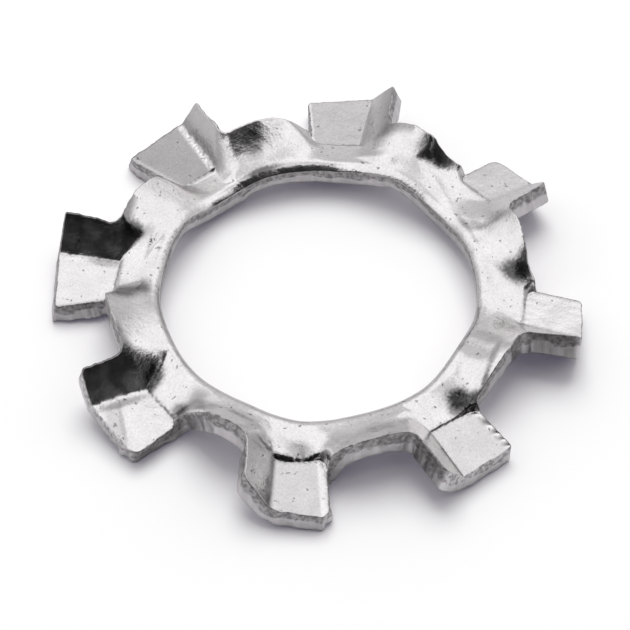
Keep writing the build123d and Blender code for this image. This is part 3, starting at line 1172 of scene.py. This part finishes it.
def cut_steel():
    """Sheared steel of the cut faces: smooth, lighter and streaked below, a dark torn band above, with the
    painted shade and reflections that each point carries.
    """
    material, nodes, shader = new_material("cut_steel")
    place = nodes.add("ShaderNodeTexCoord").outputs["Object"]
    depth = nodes.add("ShaderNodeAttribute", attribute_name="cut_depth").outputs["Fac"]
    wander = nodes.remap(nodes.noise(place, 1800), 0.3, 0.7, -0.16, 0.16)
    torn = nodes.remap(nodes.sum(depth, wander), 0.40, 0.52, 1.0, 0.0)
    tones = nodes.ramp(torn, [(0.0, (0.90, 0.875, 0.89)), (1.0, (0.64, 0.62, 0.63))])
    streaks = nodes.remap(nodes.noise(nodes.stretch(place, (1, 1, 0.1)), 6000, 2.0), 0.3, 0.7, 0.88, 1.03)
    pits = nodes.remap(nodes.noise(place, 12000, 3.0), 0.38, 0.60, 0.58, 1.08)
    torn_pits = nodes.mixed(torn, 1.0, pits)
    # painted shade and reflections, carried by each point, scale the base colour
    tone = nodes.add("ShaderNodeAttribute", attribute_name="tone").outputs["Fac"]
    nodes.link(nodes.scaled(tones, streaks, torn_pits, tone), shader.inputs["Base Color"])
    nodes.link(nodes.remap(torn, 0.0, 1.0, 0.32, 0.5), shader.inputs["Roughness"])
    rough = nodes.bump(nodes.noise(place, 7000, 4.0), 0.00002)
    nodes.link(rough, shader.inputs["Normal"])
    return material


# ---- floor, light and camera ---------------------------------------------------------------------
CAMERA_TURN = -78.1  # degrees: the camera stands this way round from the part's X
CAMERA_RISE = 51.61
CAMERA_LENS = 239.4
CAMERA_DISTANCE = 85.38
CAMERA_AIM = (-0.075, -0.709, RIM_HEIGHT)  # to the camera's right, away from it, and up

FLOOR_RADIUS = 600.0
FLOOR_SIDES = 96
FLOOR_COLOUR = (0.825, 0.822, 0.803)
FLOOR_IN_STEEL = (0.46, 0.45, 0.46)  # its mirror image in the steel, a painted darker reflection: greyer than the paper looks to the camera
FLOOR_GLOW = (0.018, 0.012, 0.042)  # a faint lavender glow of the floor, seen by the camera: painted light that tints the shadows

LAMP_TURN = 178.0  # degrees round from the camera, seen from above
LAMP_RISE = 66.0
LAMP_DISTANCE = 300.0
LAMP_WIDTH = 240.0
LAMP_LEVEL = 0.63  # how much it lights a level white surface

DOME = 1.22  # level of the sky of light
HORIZON = 0.36  # it is this much weaker at the horizon
HORIZON_TOP = 36.0  # and at full level from this rise


@dataclass
class Patch:
    """A round patch of the sky of light, placed by its direction from the camera's side."""

    turn: float
    rise: float
    inner: float  # degrees from its middle to where it starts to fade
    outer: float  # and to where it ends
    level: float


PATCHES = [  # dim behind the washer and overhead, dark on the camera's side
    Patch(turn=180, rise=20, inner=5, outer=30, level=0.74),
    Patch(turn=0, rise=90, inner=3, outer=21, level=0.80),
    Patch(turn=8, rise=48, inner=17, outer=27, level=0.02),
    Patch(turn=20, rise=20, inner=18, outer=32, level=0.02),
    Patch(turn=-25, rise=20, inner=14, outer=28, level=0.02),
    Patch(turn=66, rise=21, inner=14, outer=28, level=0.02),
    Patch(turn=-3, rise=18, inner=12, outer=24, level=0.02),
]


def direction(turn, rise):
    """Unit vector at this turn from the camera's side, counter-clockwise from above, and this rise."""
    a, e = math.radians(CAMERA_TURN + turn), math.radians(rise)
    return Vector((math.cos(a) * math.cos(e), math.sin(a) * math.cos(e), math.sin(e)))


def make_floor():
    """White paper on the ground, which keeps the shadow, with a faint painted lavender glow seen by the
    camera and a painted greyer reflection in the steel.
    """
    mesh = bpy.data.meshes.new("floor")
    corners = [(x * MM, y * MM, 0.0) for x, y in circle(FLOOR_RADIUS, FLOOR_SIDES)]
    mesh.from_pydata(corners, [], [tuple(range(FLOOR_SIDES))])
    floor = bpy.data.objects.new("floor", mesh)
    bpy.context.scene.collection.objects.link(floor)
    material, nodes, shader = new_material("floor_paper")
    shader.inputs["Metallic"].default_value = 0.0
    shader.inputs["Roughness"].default_value = 1.0
    shader.inputs["Specular IOR Level"].default_value = 0.0
    glow = nodes.add("ShaderNodeEmission")
    glow.inputs["Color"].default_value = (*FLOOR_GLOW, 1.0)
    path = nodes.add("ShaderNodeLightPath")
    nodes.link(path.outputs["Is Camera Ray"], glow.inputs["Strength"])
    paper = nodes.add("ShaderNodeMix", data_type="RGBA")
    nodes.link(path.outputs["Is Glossy Ray"], paper.inputs[0])
    paper.inputs[6].default_value = (*FLOOR_COLOUR, 1.0)
    paper.inputs[7].default_value = (*FLOOR_IN_STEEL, 1.0)
    nodes.link(paper.outputs[2], shader.inputs["Base Color"])
    both = nodes.add("ShaderNodeAddShader")
    nodes.link(shader.outputs["BSDF"], both.inputs[0])
    nodes.link(glow.outputs["Emission"], both.inputs[1])
    nodes.link(both.outputs["Shader"], nodes.output.inputs["Surface"])
    mesh.materials.append(material)


def make_world():
    """A sky of soft light, weaker at the horizon, with the dim and dark patches that the steel reflects."""
    world = bpy.data.worlds.new("studio")
    bpy.context.scene.world = world
    world.use_nodes = True
    world.node_tree.nodes.clear()
    nodes = Nodes(world.node_tree)
    toward = nodes.add("ShaderNodeTexCoord").outputs["Generated"]
    apart = nodes.add("ShaderNodeSeparateXYZ")
    nodes.link(toward, apart.inputs["Vector"])
    level = nodes.remap(apart.outputs["Z"], 0.0, math.sin(math.radians(HORIZON_TOP)), HORIZON * DOME, DOME)
    for patch in PATCHES:
        dot = nodes.add("ShaderNodeVectorMath", operation="DOT_PRODUCT")
        dot.inputs[1].default_value = direction(patch.turn, patch.rise)
        nodes.link(toward, dot.inputs[0])
        share = nodes.remap(dot.outputs["Value"], math.cos(math.radians(patch.outer)),
                            math.cos(math.radians(patch.inner)), 0.0, 1.0)
        level = nodes.mixed(share, level, patch.level)
    light = nodes.add("ShaderNodeBackground")
    nodes.link(level, light.inputs["Strength"])
    white = nodes.add("ShaderNodeBackground")
    path = nodes.add("ShaderNodeLightPath")
    mix = nodes.add("ShaderNodeMixShader")
    nodes.link(path.outputs["Is Camera Ray"], mix.inputs["Fac"])
    nodes.link(light.outputs["Background"], mix.inputs[1])
    nodes.link(white.outputs["Background"], mix.inputs[2])
    output = nodes.add("ShaderNodeOutputWorld")
    nodes.link(mix.outputs["Shader"], output.inputs["Surface"])


def make_lamp():
    """A wide lamp that throws the washer's soft shadow on the floor and leaves no mark in the steel."""
    data = bpy.data.lights.new("shadow_lamp", "AREA")
    data.shape = "DISK"
    data.size = LAMP_WIDTH * MM
    toward = direction(LAMP_TURN, LAMP_RISE)
    data.energy = LAMP_LEVEL * (math.pi * LAMP_DISTANCE * MM) ** 2 / toward.z
    lamp = bpy.data.objects.new("shadow_lamp", data)
    bpy.context.scene.collection.objects.link(lamp)
    lamp.location = toward * LAMP_DISTANCE * MM
    lamp.rotation_euler = toward.to_track_quat("Z", "Y").to_euler()
    lamp.visible_camera = False
    lamp.visible_glossy = False


def make_camera():
    """A long lens that looks down on the washer from the side of tooth 4."""
    data = bpy.data.cameras.new("camera")
    camera = bpy.data.objects.new("camera", data)
    bpy.context.scene.collection.objects.link(camera)
    bpy.context.scene.camera = camera
    data.lens = CAMERA_LENS
    data.clip_start = 0.001
    towards = direction(0, CAMERA_RISE)
    away = direction(180, 0)
    right = direction(90, 0)
    right_by, away_by, up_by = CAMERA_AIM
    aim = right * right_by + away * away_by + Vector((0, 0, up_by))
    camera.location = (aim + towards * CAMERA_DISTANCE) * MM
    camera.rotation_euler = towards.to_track_quat("Z", "Y").to_euler()


washer = make_washer()
washer.data.materials.append(face_steel())
washer.data.materials.append(cut_steel())
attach(washer, "root")
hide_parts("washer")
make_floor()
make_world()
make_lamp()
make_camera()
bpy.context.scene.view_settings.view_transform = "Standard"
